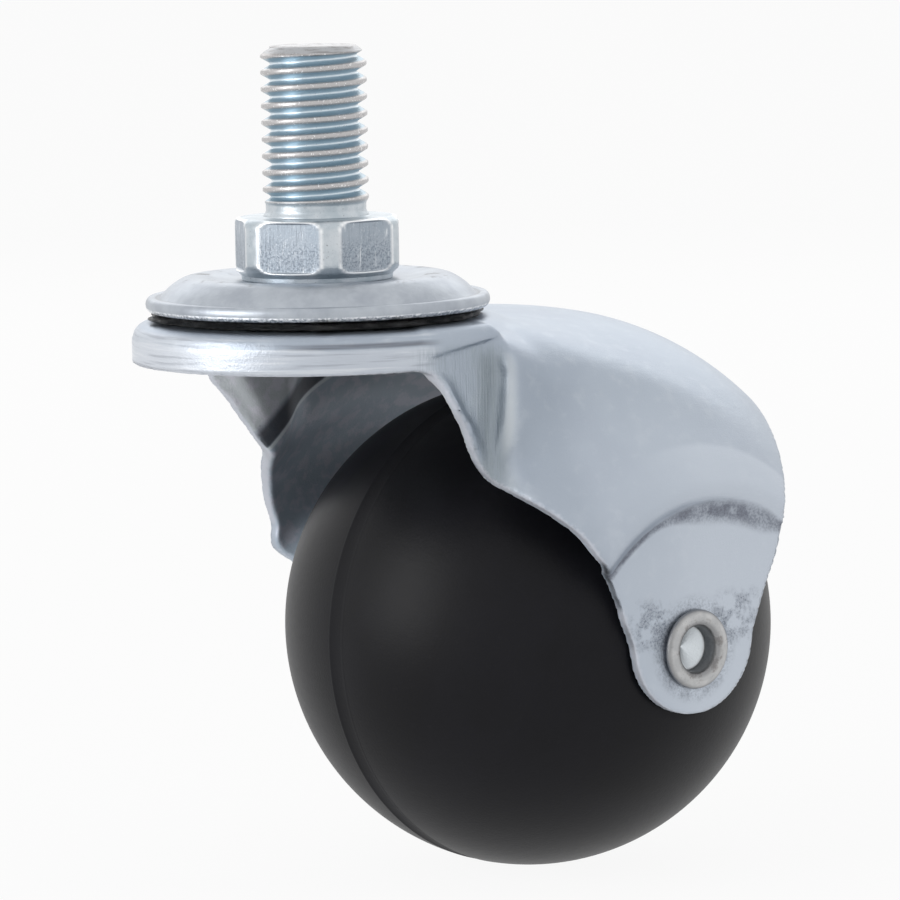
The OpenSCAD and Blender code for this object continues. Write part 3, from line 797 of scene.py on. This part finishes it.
# Painted shade: the hollow between the neck's flat side and the step is darkened
shaded_hollow = side.between(13.6, 14.0) * x.between(3.2, 4.8) * x.between(6.6, 5.6)
shaded_hollow = shaded_hollow * z_here.between(-9, -10.5)
base = hood_zinc.mix(shaded_hollow * 0.25, base, colour(138, 151, 152))
# The step's edge is painted bright as a highlight, and the body's side behind it is painted a little
# darker as shade
wear_and_sheen = side.between(14.6, 15.3) * x.between(5.1, 5.8) * x.between(7.0, 5.9)
wear_and_sheen = wear_and_sheen * z_here.between(-8.4, -9.4) * z_here.between(-21, -18)
base = hood_zinc.mix(wear_and_sheen * (cloud.between(0.3, 0.6) * 0.3 + 0.4), base, colour(220, 226, 230))
shade_after_step = side.between(14.6, 15.2) * x.between(6.6, 7.4) * x.between(12, 9)
shade_after_step = shade_after_step * z_here.between(-9, -11)
base = hood_zinc.mix(shade_after_step * 0.3, base, colour(146, 156, 168))
# Dark specks where the sheet was stretched around each pad, and around the rivet
from_pad = ((ax - pad_back) * (ax - pad_back) + (az + pad_drop) * (az + pad_drop)).root()
band = 0.4 + ax.between(-4, 2) * ax.between(10, 6) * 0.8
pad_edge = y.between(-1, 1) * (far_pad_r - pad_r) + pad_r
inward = (pad_edge - from_pad) / band
fold = inward.between(-0.5, 0.15) * inward.between(1.5, 0.5) * side.between(17.5, 19.2)
base = hood_zinc.mix(fold * (mottle.between(0.40, 0.60) * 0.35 + 0.35), base, colour(96, 99, 112))
base = hood_zinc.mix(fold * speckle.between(0.42, 0.58) * 0.4, base, colour(84, 88, 100))
beside = ax.size().between(1.6, 3.2) * az.between(-0.5, 1.2) * az.between(4.6, 3.2)
beside = beside * ax.size().between(7.5, 5.0) * side.between(18.6, 19.2)
base = hood_zinc.mix(beside * (speckle.between(0.46, 0.60) * 0.5 + 0.3) * mottle.between(0.42, 0.58),
                     base, colour(104, 110, 122))
# Painted shade: a mottled dark ring right round the rivet's head, where it meets the ear
under = from_axle.between(4.4, 3.4) * side.between(18.6, 19.2)
under = under * (speckle.between(0.46, 0.60) + mottle.between(0.4, 0.6))
base = hood_zinc.mix(under * 0.3, base, colour(104, 110, 120))
# Painted highlight: the cut edges are painted lighter; they are also rougher and less metallic
base = hood_zinc.mix(on_cut * 0.8, base, colour(206, 209, 218))
# Inside: painted lighter and bluish over the wheel as painted light, the flat wall beyond painted paler
# still, a painted dark band of shade where the flat wall turns into the dome, and a painted highlight
# line just inside it
base = hood_zinc.mix(within * 0.85, base, colour(178, 192, 206))
painted_lit_wall = within * from_axle.between(21.9, 22.5)
base = hood_zinc.mix(painted_lit_wall * 0.8, base, colour(196, 200, 202))
base = hood_zinc.mix(within * mottle.between(0.45, 0.60) * 0.5, base, colour(216, 213, 226))
painted_dark_band = within * from_axle.between(20.4, 20.7) * from_axle.between(22.5, 21.7)
base = hood_zinc.mix(painted_dark_band * 0.85, base, colour(40, 42, 50))
painted_highlight_line = within * from_axle.between(20.15, 20.3) * from_axle.between(20.6, 20.45)
base = hood_zinc.mix(painted_highlight_line * 0.8, base, colour(225, 232, 236))
rough = 0.33 + cloud * 0.12 + fold * 0.12 + on_cut * 0.10
bare_metal = 1 - within * 0.7 - on_cut * 0.4 - shaded_hollow * 0.5
relief = grain * 0.35 + flow * 0.5 + neck_side * brushed * 0.9 + on_cut * mottle
hood.data.materials.append(hood_zinc.set(
    Base_Color=base, Roughness=rough, Metallic=bare_metal, Normal=hood_zinc.bump(relief, 0.06)))
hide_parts("hood")
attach(hood, "hood")

# --- Axle rivet ----------------------------------------------------------------------------------
# A semi-tubular steel rivet through both ears. The open end is rolled back over the near ear and the
# far end has a formed head. The drill's cone shows at the bottom of its hole.

rolled_r = 3.05
hole_r = 1.72
rivet_face = ear_half + 0.7
rivet_line = filleted([
    (0.001, rivet_face - 2.3), (hole_r, rivet_face - 1.5, 0.1), (hole_r, rivet_face - 0.55, 0.4),
    (1.86, rivet_face - 0.16, 0.35), (2.4, rivet_face + 0.03, 0.5), (2.92, rivet_face - 0.14, 0.35),
    (rolled_r, rivet_face - 0.48, 0.3), (rolled_r - 0.25, ear_half - 0.02, 0.1),
    (2.39, ear_half - 0.04, 0.05),
    (2.39, -ear_half, 0.05),
    (3.65, -ear_half - 0.02, 0.1), (3.1, -ear_half - 0.6, 0.4), (2.4, -ear_half - 0.69, 0.3),
    (0.001, -ear_half - 0.69)], 0.2, 0.1)
angle, r, along = around(rivet_line, 96)
rivet = grid_piece("axle_rivet_dressed",
                   np.stack([axle_x + r * np.cos(angle), -along, axle_z + r * np.sin(angle)], axis=-1))
rivet_zinc = Finish("rivet_zinc", Metallic=1.0)
spot = rivet_zinc.place()
x, y, z_here = rivet_zinc.parts(spot)
ax = x - axle_x
az = z_here - axle_z
from_axle = (ax * ax + az * az).root()
mottle = rivet_zinc.noise(spot, 1.1, 4, 0.6)
grain = rivet_zinc.noise(spot, 6.0, 4, 0.65)
hole = from_axle.between(1.72, 1.66)
cone_highlight = y.between(-rivet_face + 1.45, -rivet_face + 1.6) * hole * y.between(0, -1)
base = rivet_zinc.mix(mottle.between(0.35, 0.68), colour(176, 177, 178), colour(194, 194, 194))
dirt = from_axle.between(1.7, 1.9) * from_axle.between(2.5, 2.2) * mottle.between(0.48, 0.60)
base = rivet_zinc.mix(dirt * 0.6, base, colour(88, 80, 76))
# Painted light and shade: the rolled ring's crest keeps its light colour and its slopes are painted
# darker
painted_lit_crest = from_axle.between(1.95, 2.3) * from_axle.between(2.95, 2.65)
base = rivet_zinc.mix((1 - painted_lit_crest) * 0.6, base, colour(116, 116, 118))
base = rivet_zinc.mix(grain.between(0.62, 0.72) * 0.6, base, colour(96, 92, 88))
# Painted highlight: the drill's cone in the near end's hole is painted bright
base = rivet_zinc.mix(cone_highlight * 0.8, base, colour(226, 233, 238))
rivet.data.materials.append(rivet_zinc.set(
    Base_Color=base, Roughness=0.32 + mottle * 0.10, Normal=rivet_zinc.bump(grain, 0.03)))
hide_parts("axle_rivet")
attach(rivet, "hood")

# --- Ball wheel ----------------------------------------------------------------------------------
# A moulded black ball of hard polymer with a flat hub on each side and a bore for the axle. The mould
# left a narrow band with a thin lip around its middle and a nub of flash beside it.

ball_r = 18.97
band_half = 0.78
band_depth = 0.07
hub = 18.2
bore_r = 2.48
ball_line = [(bore_r, hub), (bore_r + 0.3, hub), (math.sqrt(ball_r ** 2 - hub ** 2) - 0.05, hub)]
start = math.asin(hub / ball_r)
for a in np.linspace(start - 0.01, math.asin((band_half + 0.05) / ball_r), 150):
    ball_line.append((ball_r * math.cos(a), ball_r * math.sin(a)))
ball_line += [(ball_r - 0.01, band_half), (ball_r - 0.035, band_half - 0.12),
              (ball_r - band_depth, band_half - 0.4)]
half = np.array(ball_line)
other = half[::-1] * (1, -1)
ball_rows = np.vstack([half, [(ball_r - band_depth, 0)], other, [(bore_r, 0)]])
angle, r, along = around(ball_rows, 256)
nub = np.exp(-(((angle - 1.5 * math.pi) * ball_r / 0.35) ** 2) - ((along - 0.4) / 0.3) ** 2)
r = r + np.where(r > 18, 0.10 * nub, 0)
wheel = grid_piece("ball_wheel_dressed",
                   np.stack([axle_x + r * np.cos(angle), -along, axle_z + r * np.sin(angle)], axis=-1),
                   ring=True)
black_polymer = Finish("black_polymer", Specular_IOR_Level=0.17)
spot = black_polymer.place()
from_band = black_polymer.parts(spot)[1].size()
cloud = black_polymer.noise(spot, 0.10, 4, 0.55)
satin = black_polymer.noise(spot, 5.0, 4, 0.6)
rub = black_polymer.noise(black_polymer.stretched(spot, 1.0, 0.12, 1.0), 1.6, 5, 0.65)
on_band = from_band.between(band_half + 0.15, band_half - 0.1)
base = black_polymer.mix(cloud.between(0.35, 0.65), colour(15, 15, 19), colour(20, 20, 25))
base = black_polymer.mix(rub.between(0.62, 0.74) * 0.2, base, colour(36, 36, 39))
wheel.data.materials.append(black_polymer.set(
    Base_Color=base, Roughness=0.34 + cloud * 0.08 + rub * 0.06 + on_band * 0.2,
    Normal=black_polymer.bump(satin * 0.3 + rub * 0.2, 0.04)))
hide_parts("ball_wheel")
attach(wheel, "wheel")
